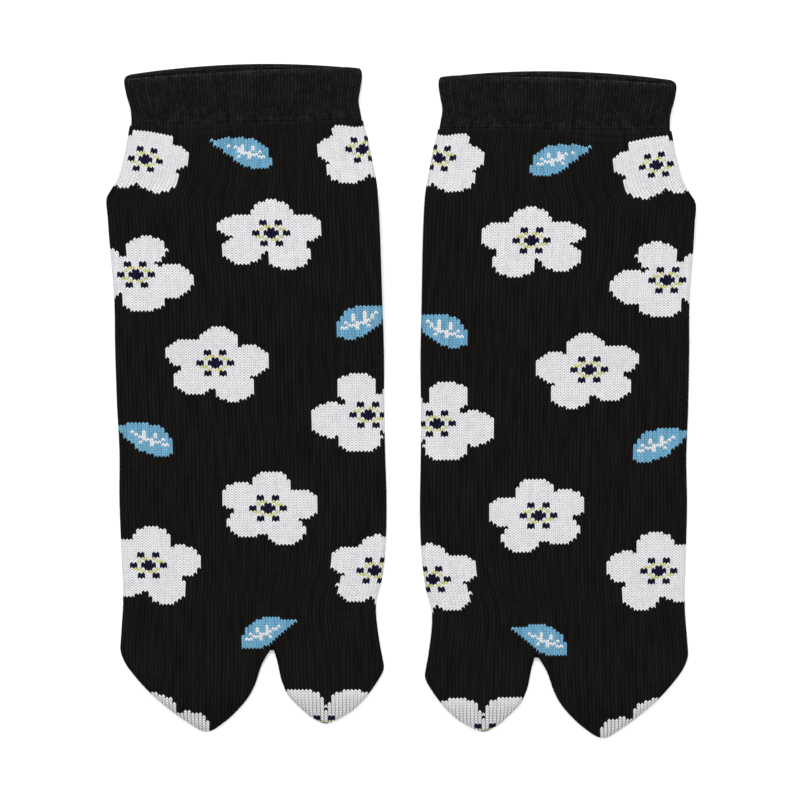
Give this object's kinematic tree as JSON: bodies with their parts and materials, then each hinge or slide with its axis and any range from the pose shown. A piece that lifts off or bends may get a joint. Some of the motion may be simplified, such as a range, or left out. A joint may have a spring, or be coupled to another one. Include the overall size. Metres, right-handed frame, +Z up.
{
  "type": "pair of tabi socks",
  "caption": "Pair of knitted split-toe ankle socks laid flat, black with white five-petal flowers and blue leaves, ribbed cuffs, big toe in its own pocket.",
  "frame": {"origin": "on the resting surface, under the middle of the pair's bounding box", "axes": "+Z up off the surface, +Y from the toes to the cuffs, +X from the right sock to the left sock"},
  "size_m": [0.2056, 0.2356, 0.0059],
  "materials": {
    "rib_knit": "black ribbed cotton-blend knit with elastic, matt, fine upright ribs",
    "patterned_knit": "black plain-knit cotton blend with white flowers, yellow and navy stamens and blue leaves knitted in, matt",
    "plain_knit": "plain black cotton-blend knit, matt"
  },
  "bodies": {
    "root": {"right_sock_cuff": "rib_knit", "right_sock_foot": "patterned_knit", "right_sock_heel": "plain_knit", "left_sock_cuff": "rib_knit", "left_sock_foot": "patterned_knit", "left_sock_heel": "plain_knit"}
  },
  "joints": []
}
